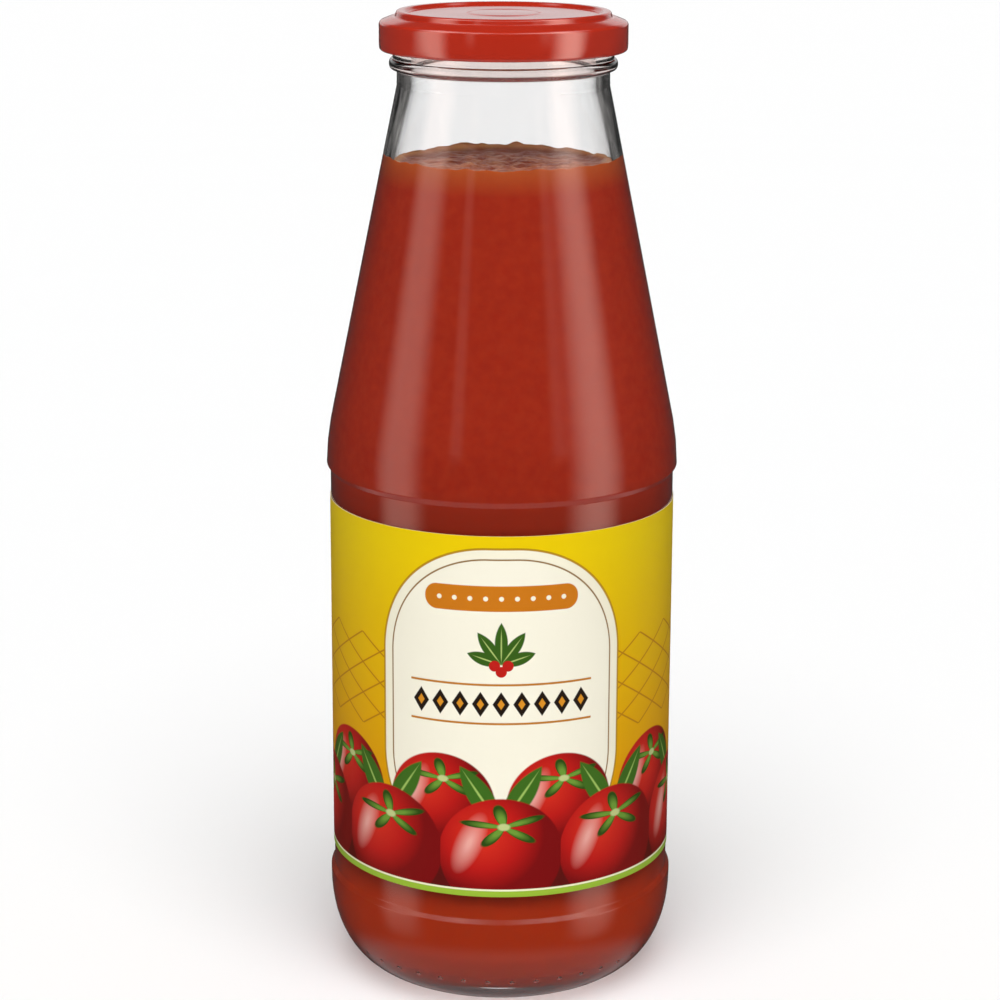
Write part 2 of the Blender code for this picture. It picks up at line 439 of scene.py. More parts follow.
axes = add(tree, "SeparateXYZ", {0: object_place}).outputs
azimuth = add(tree, "Math", {0: axes["Y"], 1: axes["X"]}, operation="ARCTAN2").outputs[0]
aside = add(tree, "Math", {0: azimuth, 1: DOT_RING}, operation="MULTIPLY").outputs[0]
in_turn = add(tree, "Math", {0: aside, 1: math.pi * DOT_RING / DOTS}, operation="PINGPONG").outputs[0]
rise = add(tree, "Math", {0: axes["Z"], 1: 1 / MM, 2: -DOT_HEIGHT}, operation="MULTIPLY_ADD").outputs[0]
to_dot = add(tree, "CombineXYZ", {"X": in_turn, "Y": rise}).outputs[0]
far = add(tree, "VectorMath", {0: to_dot}, operation="LENGTH").outputs["Value"]
dot = add(tree, "MapRange", {"Value": far, "From Min": 0.2, "From Max": 0.5, "To Min": 1.0, "To Max": 0.0})
dotted = add(tree, "Bump", {
    "Height": dot.outputs[0], "Strength": 1.0, "Distance": 0.0006, "Normal": wavy.outputs[0]
})
print(f"{DOTS} dots, {math.tau * DOT_RING / DOTS:.1f} mm apart")

# %% [markdown]
# The glass's colour turns grey where one looks along the wall: painted shade that draws the dark grey
# edge of a bottle. The ring is short and round, so it stays pale there, with a warm tint that is a
# painted reflection of the red lid above it.
# Lamps have to reach the sauce through the glass, and a path tracer finds that hard. So for shadow rays
# the glass is simply clear and dims them a little.

# %% Tint and body of the glass


def clear_for_lamps(tree, shader, kept):
    """The shader for all rays but shadow rays, which go straight through and keep that share of light."""
    shadow_ray = add(tree, "LightPath").outputs["Is Shadow Ray"]
    clear = add(tree, "BsdfTransparent", {"Color": (kept, kept, kept, 1)})
    return add(tree, "MixShader", {0: shadow_ray, 1: shader.outputs[0], 2: clear.outputs[0]})


# Painted shade: the glass turns grey where its wall is seen edge on.
facing = add(tree, "LayerWeight", {"Blend": 0.5}).outputs["Facing"]
painted_edge_shade = add(tree, "ValToRGB", {0: facing}, stops=((0.5, "ffffff"), (1.0, "8e8f8d")))
# Painted reflection: the ring gets a pale warm tint that stands for the red lid above it.
in_ring = add(tree, "MapRange", {
    "Value": axes["Z"], "From Min": ring_foot - 0.8 * MM, "From Max": ring_foot
})
painted_glass_colour = add(tree, "Mix", {
    "Factor": in_ring.outputs[0], 6: painted_edge_shade.outputs[0], 7: "e9dcd8"
}, data_type="RGBA")
glass_shader = add(tree, "BsdfPrincipled", {
    "Base Color": painted_glass_colour.outputs[2],
    "Roughness": 0.0,
    "IOR": GLASS_IOR,
    "Transmission Weight": 1.0,
    "Normal": dotted.outputs[0],
})
give_finish(glass, flint_glass, clear_for_lamps(tree, glass_shader, 0.9))

# %% [markdown]
# ### The stippled base
#
# The ring that a bottle stands on is stippled, so that a scratch can't start a crack there. Stippled
# glass scatters light, so the crescent under the sauce isn't a clear lens. Its grey-brown colour is
# painted shade where the bottle stands, with a painted reflection of the sauce's brown. The stipples
# are a millimetre apart, as the real ones are.

# %% Stippled base
stippled_base, tree = new_finish("stippled_glass")
object_place = add(tree, "TexCoord").outputs["Object"]
stipple = add(tree, "TexVoronoi", {"Vector": object_place, "Scale": 900.0})
dimpled = add(tree, "Bump", {"Height": stipple.outputs["Distance"], "Strength": 0.5, "Distance": 0.0004})
# Painted shade and painted reflection: the grey-brown base colour of the stippled glass.
rough_glass = add(tree, "BsdfPrincipled", {
    "Base Color": "a3938b",
    "Roughness": 0.45,
    "IOR": GLASS_IOR,
    "Transmission Weight": 1.0,
    "Normal": dimpled.outputs[0],
})
give_finish(glass, stippled_base, rough_glass)

# %% [markdown]
# ### The inner wall of the neck
#
# Where the bottle is empty, light that runs along the wall can't get out of the glass into the air inside:
# it is mirrored back, and shows the dark sides of the room as a grey band down each edge. Below the fill
# level the sauce wets the wall and there is no such band. So the inner wall has a finish of its own, put
# together from a shader that bends light and one that mirrors it dimly. The mirror's streaks are 3 mm
# wide and 45 mm long, because blown glass is drawn out along the neck.

# %% Inner wall
inner_wall, tree = new_finish("inner_wall_of_glass")
object_place = add(tree, "TexCoord").outputs["Object"]
drawn = add(tree, "Mapping", {"Vector": object_place, "Scale": (330, 330, 22)})
streaks = add(tree, "TexNoise", {"Vector": drawn.outputs[0], "Scale": 1.0, "Detail": 3.0})
dim = add(tree, "ValToRGB", {0: streaks.outputs[0]}, stops=((0.38, "0e0c0c"), (0.7, "9c9a98")))
bends = add(tree, "BsdfRefraction", {"Color": "ffffff", "Roughness": 0.0, "IOR": GLASS_IOR})
mirrors = add(tree, "BsdfAnisotropic", {"Color": dim.outputs[0], "Roughness": 0.0})
split = add(tree, "Fresnel", {"IOR": GLASS_IOR})
wall_glass = add(tree, "MixShader", {0: split.outputs[0], 1: bends.outputs[0], 2: mirrors.outputs[0]})
give_finish(glass, inner_wall, clear_for_lamps(tree, wall_glass, 0.95))

# %% Share the faces between the three kinds of glass
STIPPLED_BELOW = 3.5 * MM
STIPPLED_WITHIN = 26.5 * MM

for face in glass.data.polygons:
    outward = face.center.x * face.normal.x + face.center.y * face.normal.y
    if wet_line < face.center.z < ring_foot and outward < 0:
        face.material_index = 2
    elif face.center.z < STIPPLED_BELOW and face.center.to_2d().length < STIPPLED_WITHIN:
        face.material_index = 1
print("faces of the inner wall:", sum(face.material_index == 2 for face in glass.data.polygons))

# %% [markdown]
# ### Sieved tomato
#
# Passata is a wet, dense suspension of tomato flesh, mottled by fine pulp. The pulp is drawn at about
# 2 mm, coarser than the real one, so that it shows. The sauce is a little darker in the recess under
# the upper bead, which shades it, and lighter in the heel, where light comes up to it from the table.
# Just under the top it is orange.

# %% Flesh, painted recess shade, painted heel light and orange top
ORANGE_BAND = 5.5

sieved_tomato, tree = new_finish("sieved_tomato")
object_place = add(tree, "TexCoord").outputs["Object"]
height = add(tree, "SeparateXYZ", {0: object_place}).outputs["Z"]
pulp = add(tree, "TexNoise", {"Vector": object_place, "Scale": 450.0, "Detail": 3.0})
flesh = add(tree, "ValToRGB", {0: pulp.outputs[0]}, stops=((0.3, "881f0b"), (0.75, "8f2710")))
# Painted shade: the sauce is darker in the recess under the upper bead.
in_recess = add(tree, "MapRange", {"Value": height, "From Min": 122 * MM, "From Max": 117 * MM})
shaded = add(tree, "Mix", {
    "Factor": in_recess.outputs[0], 6: flesh.outputs[0], 7: "80210c"
}, data_type="RGBA")
# Painted light: the sauce is lighter in the heel, for the light that comes up from the table.
in_heel = add(tree, "MapRange", {"Value": height, "From Min": 36 * MM, "From Max": 24 * MM})
lit_heel = add(tree, "Mix", {
    "Factor": in_heel.outputs[0], 6: shaded.outputs[2], 7: "a2300f"
}, data_type="RGBA")
near_top = add(tree, "MapRange", {
    "Value": height, "From Min": (fill_level - ORANGE_BAND) * MM, "From Max": (fill_level + 0.5) * MM
})
orange_under_top = add(tree, "Mix", {
    "Factor": near_top.outputs[0], 6: lit_heel.outputs[2], 7: "9c4a20"
}, data_type="RGBA")
print("the orange band starts at", fill_level - ORANGE_BAND, "mm")

# %% [markdown]
# The top's middle is brown, flecked with a lighter brown, and the flecks are about 4 mm across. Towards
# the wall it is a more even brown. Where it climbs the wall it is paler: painted light where the raised
# edge catches the light. Only faces that look up get these colours.

# %% Flecked top, even rim and painted light on the climb
FLECKED_RADIUS = 14
EVEN_RIM_RADIUS = 22

flecked = add(tree, "TexNoise", {"Vector": object_place, "Scale": 260.0, "Detail": 4.0})
brown_flecks = add(tree, "ValToRGB", {0: flecked.outputs[0]}, stops=((0.38, "843922"), (0.62, "b47352")))
flat_place = add(tree, "VectorMath", {0: object_place, 1: (1, 1, 0)}, operation="MULTIPLY")
from_axis = add(tree, "VectorMath", {0: flat_place.outputs[0]}, operation="LENGTH").outputs["Value"]
toward_wall = add(tree, "MapRange", {
    "Value": from_axis, "From Min": FLECKED_RADIUS * MM, "From Max": EVEN_RIM_RADIUS * MM
})
flecked_top = add(tree, "Mix", {
    "Factor": toward_wall.outputs[0], 6: brown_flecks.outputs[0], 7: "8e5340"
}, data_type="RGBA")
# Painted light: where the top climbs the wall it is paler, for the raised edge catching the light.
on_climb = add(tree, "MapRange", {
    "Value": height, "From Min": (fill_level - 0.9) * MM, "From Max": (fill_level - 0.1) * MM
})
painted_climb_light = add(tree, "Mix", {
    "Factor": on_climb.outputs[0], 6: flecked_top.outputs[2], 7: "c98f5e"
}, data_type="RGBA")
facing_up = add(tree, "SeparateXYZ", {0: add(tree, "NewGeometry").outputs["Normal"]}).outputs["Z"]
on_top = add(tree, "MapRange", {"Value": facing_up, "From Min": 0.3, "From Max": 0.6})
top_coloured = add(tree, "Mix", {
    "Factor": on_top.outputs[0], 6: orange_under_top.outputs[2], 7: painted_climb_light.outputs[2]
}, data_type="RGBA")
print(f"crust within {FLECKED_RADIUS} mm of the axis, even rim from {EVEN_RIM_RADIUS} mm")

# %% [markdown]
# Light goes a little way into the sauce, red light the furthest, which keeps its shadows red. It touches
# the glass, so it has hardly any shine of its own: what shines is the glass.

# %% Body of the sauce
rough_pulp = add(tree, "Bump", {"Height": pulp.outputs[0], "Strength": 0.08, "Distance": 0.0004})
tomato_shader = add(tree, "BsdfPrincipled", {
    "Base Color": top_coloured.outputs[2],
    "Roughness": 0.38,
    "Specular IOR Level": 0.05,
    "Subsurface Weight": 0.25,
    "Subsurface Radius": (1.0, 0.25, 0.1),
    "Subsurface Scale": 2 * MM,
    "Normal": rough_pulp.outputs[0],
})
give_finish(sauce, sieved_tomato, tomato_shader)

# %% [markdown]
# ### Lacquered tinplate
#
# The lid's sheet is coated with a red enamel that is baked on before pressing. It is as smooth as a
# paint and shines like one, so it is a coloured base under a clear coat, with the orange peel of a baked
# enamel, about a millimetre from crest to crest.

# %% Lacquered tinplate
lacquered_tinplate, tree = new_finish("lacquered_tinplate")
object_place = add(tree, "TexCoord").outputs["Object"]
peel = add(tree, "TexNoise", {"Vector": object_place, "Scale": 900.0, "Detail": 1.0})
orange_peel = add(tree, "Bump", {"Height": peel.outputs[0], "Strength": 0.03, "Distance": 0.0003})
lacquer = add(tree, "BsdfPrincipled", {
    "Base Color": "b82405",
    "Roughness": 0.5,
    "Specular IOR Level": 0.1,
    "Coat Weight": 1.0,
    "Coat Roughness": 0.06,
    "Coat IOR": 1.9,
    "Normal": orange_peel.outputs[0],
})
give_finish(lid, lacquered_tinplate, lacquer)

# %% [markdown]
# ### Coated paper and its print
#
# The label is offset print on coated paper: flat inks with crisp edges and a slight sheen. An image
# could carry the print, but shapes drawn by nodes stay sharp at any size. They need to know where a
# point lies on the paper, so the first step unrolls the cylinder: millimetres round from the middle of
# the front, and millimetres up from the lower edge. Each ink then goes over the ones before it, as on a
# press. The shapes are few: an oval, a rectangle with round corners and a leaf, alone or in a row.

# %% Unroll the paper and define an ink
coated_paper, tree = new_finish("coated_paper")

place = add(tree, "SeparateXYZ", {0: add(tree, "TexCoord").outputs["Object"]}).outputs
forward = add(tree, "Math", {0: place["Y"], 1: -1.0}, operation="MULTIPLY")
azimuth = add(tree, "Math", {0: place["X"], 1: forward.outputs[0]}, operation="ARCTAN2")
across = add(tree, "Math", {0: azimuth.outputs[0], 1: label_radius}, operation="MULTIPLY").outputs[0]
up = add(tree, "Math", {0: place["Z"], 1: 1 / MM, 2: -label_low}, operation="MULTIPLY_ADD").outputs[0]
on_paper = add(tree, "CombineXYZ", {"X": across, "Y": up}).outputs[0]


def ink(under, mask, colour):
    """The print so far with one more ink, where the mask is 1."""
    return add(tree, "Mix", {"Factor": mask, 6: under, 7: colour}, data_type="RGBA").outputs[2]


def inside(distance, limit=1.0, soft=0.03):
    """1 where a distance is less than its limit and 0 beyond, with a narrow soft edge."""
    return add(tree, "MapRange", {
        "Value": distance, "From Min": limit - soft, "From Max": limit + soft, "To Min": 1.0, "To Max": 0.0
    }).outputs[0]


def overlap(first, second):
    """1 only where both masks are 1."""
    return add(tree, "Math", {0: first, 1: second}, operation="MULTIPLY").outputs[0]


def seen_from(at, centre, size, turn=0.0):
    """The place as a shape sees it: its middle is the origin, its half sizes are 1, and it is turned."""
    return add(tree, "Mapping", {
        "Vector": at, "Location": (*centre, 0), "Rotation": (0, 0, math.radians(turn)), "Scale": (*size, 1)
    }, vector_type="TEXTURE").outputs[0]


paper_round = 2 * math.pi * label_radius
print(f"paper: {paper_round:.0f} mm round, {label_high - label_low:.1f} mm high")

# %% Define the shapes


def oval(at, centre, radii, turn=0.0, soft=0.03):
    """An ellipse with its centre and radii in mm. Its turn is in degrees."""
    own = seen_from(at, centre, radii, turn)
    return inside(add(tree, "VectorMath", {0: own}, operation="LENGTH").outputs["Value"], 1.0, soft)


def panel(at, centre, halves, corner):
    """A rectangle with round corners, all in mm."""
    own = add(tree, "VectorMath", {0: at, 1: (*centre, 0)}, operation="SUBTRACT")
    quarter = add(tree, "VectorMath", {0: own.outputs[0]}, operation="ABSOLUTE")
    core = (halves[0] - corner, halves[1] - corner, 0)
    past = add(tree, "VectorMath", {0: quarter.outputs[0], 1: core}, operation="SUBTRACT")
    out = add(tree, "VectorMath", {0: past.outputs[0], 1: (0, 0, 0)}, operation="MAXIMUM")
    far = add(tree, "VectorMath", {0: out.outputs[0]}, operation="LENGTH").outputs["Value"]
    return inside(far, corner, 0.07)


def leaf(at, stalk, length, width, turn):
    """A pointed leaf that grows from its stalk: what two large circles share. Its turn is from upright."""
    lean = math.radians(turn)
    middle = (stalk[0] - math.sin(lean) * length / 2, stalk[1] + math.cos(lean) * length / 2)
    own = seen_from(at, middle, (length / 2, length / 2), turn)
    half = add(tree, "VectorMath", {0: own}, operation="ABSOLUTE")
    away = (1 - (width / length) ** 2) / (2 * width / length)
    distance = add(tree, "VectorMath", {0: half.outputs[0], 1: (-away, 0, 0)}, operation="DISTANCE")
    return inside(distance.outputs["Value"], away + width / length, 0.02)


def row(at, pitch, height, shift=0.5):
    """The place within one of a row of equal cells, measured from the cell's middle."""
    axes = add(tree, "SeparateXYZ", {0: at}).outputs
    count = add(tree, "Math", {0: axes["X"], 1: 1 / pitch, 2: shift}, operation="MULTIPLY_ADD")
    part = add(tree, "Math", {0: count.outputs[0], 1: 1.0}, operation="FLOORED_MODULO")
    aside = add(tree, "Math", {0: part.outputs[0], 1: pitch, 2: -pitch / 2}, operation="MULTIPLY_ADD")
    rise = add(tree, "Math", {0: axes["Y"], 1: height}, operation="SUBTRACT")
    return add(tree, "CombineXYZ", {"X": aside.outputs[0], "Y": rise.outputs[0]}).outputs[0]


print("shapes: oval, panel, leaf, row")

# %% [markdown]
# The ground is a warm yellow that deepens towards the foot, with a trellis of thin ochre lines on each
# side. In front stands a cream field with an arched top and a thin line inside its edge.

# %% Yellow ground, trellis and cream field
deepening = add(tree, "MapRange", {"Value": up, "From Min": 25.0, "From Max": 80.0})
print_so_far = ink("e39f00", deepening.outputs[0], "efce05")
lines = []
for steepness in (0.6, -0.6):
    slope = add(tree, "Math", {0: across, 1: steepness, 2: up}, operation="MULTIPLY_ADD").outputs[0]
    lines.append(add(tree, "Math", {0: slope, 1: 3.6}, operation="PINGPONG").outputs[0])
nearest = add(tree, "Math", {0: lines[0], 1: lines[1]}, operation="MINIMUM").outputs[0]
trellis = overlap(inside(nearest, 0.2, 0.08), panel(on_paper, (0, 46.8), (200, 10.8), 0.2))
print_so_far = ink(print_so_far, trellis, "bd7d10")

for grown, shade in ((0.5, "b98b1c"), (0.0, "fbf5dd"), (-2.0, "8f6a35"), (-2.35, "fcf7e3")):
    field = panel(on_paper, (0, 44.0), (28.2 + grown, 36.6 + grown), 25.0 + grown)
    print_so_far = ink(print_so_far, field, shade)
print("nodes in the print so far:", len(tree.nodes))

# %% [markdown]
# The cream field carries plain ornaments: an orange ribbon with pale beads, a fan of leaves over three
# berries, and a row of lozenges between two rules. A lozenge is where a quarter's two shares, across and
# up, add up to less than one.

# %% Ribbon and leaves
RIBBON_UP = 69.6
STALK = (0, 54.6)

ribbon = panel(on_paper, (0, RIBBON_UP), (17.4, 2.9), 2.8)
beads = oval(row(on_paper, 3.5, RIBBON_UP), (0, 0), (0.55, 0.55), soft=0.1)
in_ribbon = panel(on_paper, (0, RIBBON_UP), (15.6, 2.6), 0.2)
print_so_far = ink(print_so_far, ribbon, "cf7a1a")
print_so_far = ink(print_so_far, overlap(beads, in_ribbon), "fbf3d8")

for turn, length in ((0, 9.6), (36, 9.0), (-36, 9.0), (72, 8.0), (-72, 8.0)):
    print_so_far = ink(print_so_far, leaf(on_paper, STALK, length, 2.9, turn), "3a611d")
    print_so_far = ink(print_so_far, leaf(on_paper, STALK, length * 0.82, 0.3, turn), "b3ca72")
for aside, rise in ((-1.5, 54.3), (1.5, 54.3), (0, 52.9)):
    print_so_far = ink(print_so_far, oval(on_paper, (aside, rise), (1.25, 1.25)), "c0201a")
print("nodes in the print so far:", len(tree.nodes))

# %% Lozenges between two rules
LOZENGE = (1.9, 2.9)
ROW_UP = 45.4

quarter = add(tree, "VectorMath", {0: row(on_paper, 4.6, ROW_UP)}, operation="ABSOLUTE").outputs[0]
slant = add(tree, "VectorMath", {
    0: quarter, 1: (1 / LOZENGE[0], 1 / LOZENGE[1], 0)
}, operation="DOT_PRODUCT").outputs["Value"]
in_row = panel(on_paper, (0, ROW_UP), (20.6, 3.4), 0.2)
print_so_far = ink(print_so_far, overlap(inside(slant, 1.0, 0.04), in_row), "241a14")
print_so_far = ink(print_so_far, overlap(inside(slant, 0.42, 0.04), in_row), "dc9226")
for rise in (40.9, 49.9):
    print_so_far = ink(print_so_far, panel(on_paper, (0, rise), (21.0, 0.25), 0.1), "bf7a28")
print("nodes in the print so far:", len(tree.nodes))

# %% [markdown]
# Round the foot runs a frieze of round tomatoes in two rows, like scales. One function draws a whole
# row, because every cell of a row repeats the first. A tomato is a disc whose red darkens away from the
# light, with a soft shine and a calyx: a star whose reach is a power of a cosine of the azimuth.

# %% Draw a row of tomatoes


def tomatoes(under, count, shift, middle, radius):
    """Lays one row of tomatoes over the print. Sizes are in mm."""
    cell = row(on_paper, paper_round / count, middle, shift)
    local = seen_from(cell, (0, 0), (radius, radius * 0.94))
    skin = add(tree, "VectorMath", {0: local, 1: (-0.3, 0.35, 0)}, operation="DISTANCE").outputs["Value"]
    reds = add(tree, "ValToRGB", {0: skin}, stops=((0.1, "d9301f"), (0.6, "bd1a17"), (1.0, "7d0d10")))
    under = ink(under, oval(local, (0, 0), (1, 1), soft=0.012), reds.outputs[0])
    shine = overlap(oval(local, (-0.5, 0.2), (0.13, 0.34), -22, soft=0.8), 0.55)
    under = ink(under, shine, "ffd9cc")

    star = seen_from(local, (0.05, 0.5), (1.1, 0.62))
    spread = add(tree, "SeparateXYZ", {0: star}).outputs
    azimuth = add(tree, "Math", {0: spread["X"], 1: spread["Y"]}, operation="ARCTAN2")
    fifth = add(tree, "Math", {0: azimuth.outputs[0], 1: 2.5, 2: 0.35}, operation="MULTIPLY_ADD")
    wave = add(tree, "Math", {0: fifth.outputs[0]}, operation="COSINE")
    point = add(tree, "Math", {0: wave.outputs[0]}, operation="ABSOLUTE")
    narrow = add(tree, "Math", {0: point.outputs[0], 1: 3.0}, operation="POWER")
    tip = add(tree, "Math", {0: narrow.outputs[0], 1: 0.48, 2: 0.08}, operation="MULTIPLY_ADD")
    out = add(tree, "VectorMath", {0: star}, operation="LENGTH").outputs["Value"]
    share = add(tree, "Math", {0: out, 1: tip.outputs[0]}, operation="DIVIDE").outputs[0]
    under = ink(under, inside(share, 1.15, 0.05), "2c4c14")
    under = ink(under, inside(share, 0.75, 0.25), "6f9c38")
    return ink(under, oval(star, (0, 0), (0.09, 0.1), soft=0.2), "c5d18c")


# %% Lay the frieze, its leaves and the foot
IN_A_ROW = 9
shade = add(tree, "MapRange", {"Value": up, "From Min": 8.0, "From Max": 19.0, "To Min": 1.0, "To Max": 0.0})
print_so_far = ink(print_so_far, shade.outputs[0], "5d1210")
print_so_far = tomatoes(print_so_far, IN_A_ROW, 0.0, 21.5, 12.6)
between = row(on_paper, paper_round / IN_A_ROW, 0.0)
for turn in (-34, 34):
    print_so_far = ink(print_so_far, leaf(between, (0, 17.0), 16.5, 5.4, turn), "3f6d20")
    print_so_far = ink(print_so_far, leaf(between, (0, 17.0), 14.5, 0.5, turn), "a3c463")
print_so_far = tomatoes(print_so_far, IN_A_ROW, 0.5, 10.0, 14.2)
print_so_far = ink(print_so_far, panel(on_paper, (0, 0), (200, 1.5), 0.1), "9cbf3a")
print_so_far = ink(print_so_far, panel(on_paper, (0, 1.6), (200, 0.22), 0.1), "f6f3cf")
print("nodes in the print so far:", len(tree.nodes))

# %% [markdown]
# The back has a cream table with plain rows on each side of the seam, in the same inks. Taking away the
# sign of the distance round makes one table serve both sides.

# %% Back of the label
TABLE_ASIDE = 91
HEADING_UP = 74.0

mirrored = add(tree, "VectorMath", {0: on_paper}, operation="ABSOLUTE").outputs[0]
print_so_far = ink(print_so_far, panel(mirrored, (TABLE_ASIDE, 59), (21, 20), 2.0), "faf4da")
rules = add(tree, "Math", {0: up, 1: 2.1}, operation="PINGPONG").outputs[0]
in_table = panel(mirrored, (TABLE_ASIDE, 55), (18.5, 14.0), 0.2)
print_so_far = ink(print_so_far, overlap(inside(rules, 0.16, 0.05), in_table), "b5842a")
print_so_far = ink(print_so_far, panel(mirrored, (TABLE_ASIDE, HEADING_UP), (18.5, 2.4), 0.8), "7fa52e")
beads = oval(row(mirrored, 3.5, HEADING_UP), (0, 0), (0.55, 0.55), soft=0.1)
in_heading = panel(mirrored, (TABLE_ASIDE, HEADING_UP), (16.0, 2.2), 0.5)
print_so_far = ink(print_so_far, overlap(beads, in_heading), "fbf3d8")
print("nodes in the print so far:", len(tree.nodes))

# %% [markdown]
# The paper itself has a fine tooth, drawn at 1.4 mm so that it shows, and it cockles a little over some
# 20 mm where the glue wetted it. Where the sheet turns away, a brown goes over the print: painted shade
# for the sides of the label, which get less light.

# %% Varnish and fibre
object_place = add(tree, "TexCoord").outputs["Object"]
fibre = add(tree, "TexNoise", {"Vector": object_place, "Scale": 700.0, "Detail": 4.0})
cockle = add(tree, "TexNoise", {"Vector": object_place, "Scale": 45.0, "Detail": 1.0})
felt = add(tree, "Bump", {"Height": fibre.outputs[0], "Strength": 0.05, "Distance": 0.0003})
cockled = add(tree, "Bump", {
    "Height": cockle.outputs[0], "Strength": 0.1, "Distance": 0.001, "Normal": felt.outputs[0]
})
# Painted shade: a brown over the print where the sheet turns away from the eye.
facing = add(tree, "LayerWeight", {"Blend": 0.5}).outputs["Facing"]
painted_side_shade = add(tree, "Math", {0: facing, 1: 0.35}, operation="MULTIPLY").outputs[0]
paper_shader = add(tree, "BsdfPrincipled", {
    "Base Color": ink(print_so_far, painted_side_shade, "302000"),
    "Roughness": 0.45,
    "Specular IOR Level": 0.04,
    "Normal": cockled.outputs[0],
})
give_finish(label, coated_paper, paper_shader)

# %% [markdown]
# The cut edge of the strip shows the bare white paper under the inks.

# %% Cut edge
bare_paper, tree = new_finish("bare_paper_edge")
edge_shader = add(tree, "BsdfPrincipled", {"Base Color": "efe9d2", "Roughness": 0.8})
give_finish(label, bare_paper, edge_shader)
for face in label.data.polygons:
    face.material_index = int(abs(face.normal.z) > 0.7)
print("faces of the cut edge:", sum(face.material_index == 1 for face in label.data.polygons))

# %% [markdown]
# ## The studio
#
# Glass and lacquer show their surroundings more than themselves, so the studio is made of what they
# should mirror. The pale floor keeps the bottle's soft shadow. Mirrors don't see it, because it would
# put a grey veil over the foot of every highlight.

# %% Floor
bm = bmesh.new()
bmesh.ops.create_grid(bm, x_segments=1, y_segments=1, size=15.0)
mesh = bpy.data.meshes.new("floor")
bm.to_mesh(mesh)
bm.free()
floor = bpy.data.objects.new("floor", mesh)
bpy.context.scene.collection.objects.link(floor)
floor.visible_glossy = False
pale_floor, tree = new_finish("pale_floor")
give_finish(floor, pale_floor, add(tree, "BsdfDiffuse", {"Color": "f4f4f4"}))

# %% [markdown]
# Two tall soft boxes, one on each side, draw the long bright bands down the cone. Two faint, narrow ones
# nearer the front draw the thin lines between those bands. A soft box is bright in the middle and fades
# towards its sides, so its reflection has a soft edge too. Each could be a glowing plane, but an area
# lamp lights the scene with less noise.

# %% Soft boxes
DISTANCE = 0.9
MIDDLE_HEIGHT = 0.15
BOX_HEIGHT = 2.4

scene = bpy.context.scene
scene.view_settings.view_transform = "Standard"


def soft_box(name, azimuth, width, watts, fade, dark_below, full_above):
    """A tall lamp that faces the bottle, seen only by mirrors and through glass.

    It stands at an azimuth in degrees to the right of the camera and is so many metres wide. Each side
    fades over that share of the width. It is dark below one height and full above another, in metres.
    """
    lamp = bpy.data.lights.new(name, "AREA")
    lamp.shape = "RECTANGLE"
    lamp.size, lamp.size_y, lamp.energy = width, BOX_HEIGHT, watts
    lamp.use_nodes = True
    tree = lamp.node_tree
    tree.nodes.clear()
    across = add(tree, "SeparateXYZ", {0: add(tree, "NewGeometry").outputs["Parametric"]}).outputs["X"]
    to_edge = add(tree, "Math", {0: across, 1: 0.5}, operation="PINGPONG")
    cloth = add(tree, "MapRange", {
        "Value": to_edge.outputs[0], "From Min": 0.0, "From Max": fade
    }, interpolation_type="SMOOTHSTEP")
    height = add(tree, "SeparateXYZ", {0: add(tree, "NewGeometry").outputs["Position"]}).outputs["Z"]
    lower = add(tree, "MapRange", {"Value": height, "From Min": dark_below, "From Max": full_above})
    strength = add(tree, "Math", {0: cloth.outputs[0], 1: lower.outputs[0]}, operation="MULTIPLY")
    glow = add(tree, "Emission", {"Color": "ffddcf", "Strength": strength.outputs[0]})
    add(tree, "OutputLight", {"Surface": glow.outputs[0]})
    box = bpy.data.objects.new(name, lamp)
    turn = math.radians(azimuth)
    box.location = (DISTANCE * math.sin(turn), -DISTANCE * math.cos(turn), MIDDLE_HEIGHT)
    box.rotation_euler = (math.radians(90), 0, turn)
    box.visible_camera = False
    box.visible_diffuse = False
    scene.collection.objects.link(box)
    print(f"{name}: {width} m wide, {watts} W")


soft_box("left_box", -70, 0.72, 11.0, 0.4, -0.6, -0.15)
soft_box("right_box", 64, 0.80, 18.0, 0.45, -0.6, -0.15)
soft_box("left_strip", -30, 0.2, 0.8, 0.4, 0.14, 0.24)
soft_box("right_strip", 38, 0.26, 1.0, 0.45, 0.14, 0.24)

# %% [markdown]
# A wide soft sun from above the camera lights the sauce, the paper and the floor evenly. It is hidden
# from mirrors, where it would be a white spot on the lid.

# %% Overhead lamp
overhead = bpy.data.lights.new("overhead", "SUN")
overhead.energy = 2.95
overhead.angle = math.radians(50)
overhead_lamp = bpy.data.objects.new("overhead", overhead)
overhead_lamp.rotation_euler = (math.radians(25), 0, 0)
overhead_lamp.visible_glossy = False
scene.collection.objects.link(overhead_lamp)

# %% [markdown]
# The room round the bottle is the world. Its pale backdrop fills the picture, and it is almost dark to
# a mirror, apart from three things. A low band of the backdrop shows on the lid's flat top. A ceiling
# panel in front draws the thin lines on the beads and on the lid's shoulder, and is dimmer in its middle.
# The table lightens the foot of the heel. The direction's Z is the sine of its height above the horizon.

# %% What a mirror sees of the room
world = bpy.data.worlds.new("studio")
world.use_nodes = True
scene.world = world
tree = world.node_tree
tree.nodes.clear()
direction = add(tree, "SeparateXYZ", {0: add(tree, "TexCoord").outputs["Generated"]}).outputs


def side(darkest, brightest):
    """1 on one side of the room and 0 on the other, from two values of the direction's Y."""
    return add(tree, "MapRange", {
        "Value": direction["Y"], "From Min": darkest, "From Max": brightest
    }, interpolation_type="SMOOTHSTEP").outputs[0]


def lit_band(where, level, heights):
    """How bright the room is where the mask is 1: a lit band of heights, its soft edges set by four stops."""
    shares = (0, level, level, 0)
    stops = [(height, (share, share, share, 1)) for height, share in zip(heights, shares)]
    lit = add(tree, "ValToRGB", {0: direction["Z"]}, stops=stops).outputs[0]
    return add(tree, "Math", {0: where, 1: lit}, operation="MULTIPLY").outputs[0]


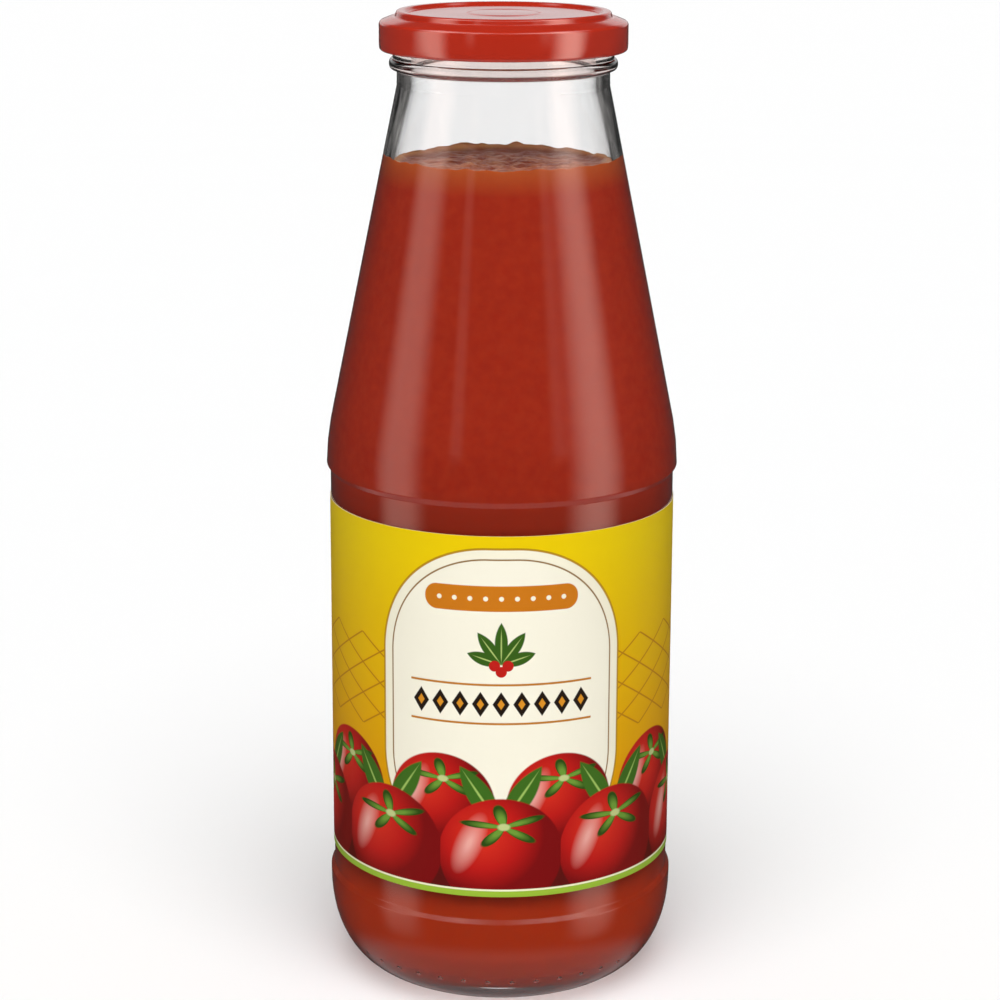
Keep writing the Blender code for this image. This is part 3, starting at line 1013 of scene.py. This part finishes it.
backdrop = lit_band(side(0.7, 0.9), 0.7, (0.0, 0.04, 0.35, 0.45))
aside = add(tree, "Math", {0: direction["X"]}, operation="ABSOLUTE").outputs[0]
parted = add(tree, "MapRange", {
    "Value": aside, "From Min": 0.0, "From Max": 0.35, "To Min": 0.35, "To Max": 1.0
}, interpolation_type="SMOOTHSTEP").outputs[0]
parted_front = add(tree, "Math", {0: side(0.3, 0.1), 1: parted}, operation="MULTIPLY").outputs[0]
ceiling = lit_band(parted_front, 1.0, (0.55, 0.65, 0.85, 0.93))
table = add(tree, "MapRange", {
    "Value": direction["Z"], "From Min": -0.54, "From Max": -0.72, "To Min": 0.05, "To Max": 0.45
}, interpolation_type="SMOOTHSTEP").outputs[0]
low_room = add(tree, "Math", {0: backdrop, 1: table}, operation="ADD").outputs[0]
room = add(tree, "Math", {0: ceiling, 1: 1.5, 2: low_room}, operation="MULTIPLY_ADD").outputs[0]
print("lit to a mirror: backdrop, ceiling and table")

# %% What other rays see of the room
rays = add(tree, "LightPath").outputs
brightness = 0.25
for kind, seen in (("Is Glossy Ray", room), ("Is Transmission Ray", 1.04), ("Is Camera Ray", 0.97)):
    brightness = add(tree, "Mix", {"Factor": rays[kind], 2: brightness, 3: seen}).outputs[0]
pale = add(tree, "Background", {"Color": "ffffff", "Strength": brightness})
add(tree, "OutputWorld", {"Surface": pale.outputs[0]})
print("nodes in the world:", len(tree.nodes))

# %% [markdown]
# ## The camera
#
# The view is from a little above the lid, so that the lid shows as a thin ellipse and the base as a
# rounder one. A long lens keeps the bottle's sides nearly parallel.

# %% Camera
LOOKS_DOWN = math.radians(14.745)
ROLL = math.radians(-0.22)

lens = bpy.data.cameras.new("camera")
lens.sensor_width = 36.0
lens.lens = 101.8
camera = bpy.data.objects.new("camera", lens)
camera.location = (-0.00102, -0.62874, 0.27635)
camera.rotation_euler = (math.radians(90) - LOOKS_DOWN, ROLL, 0)
scene.collection.objects.link(camera)
scene.camera = camera
print(f"camera: {lens.lens} mm lens, {math.degrees(LOOKS_DOWN):.1f} degrees down")
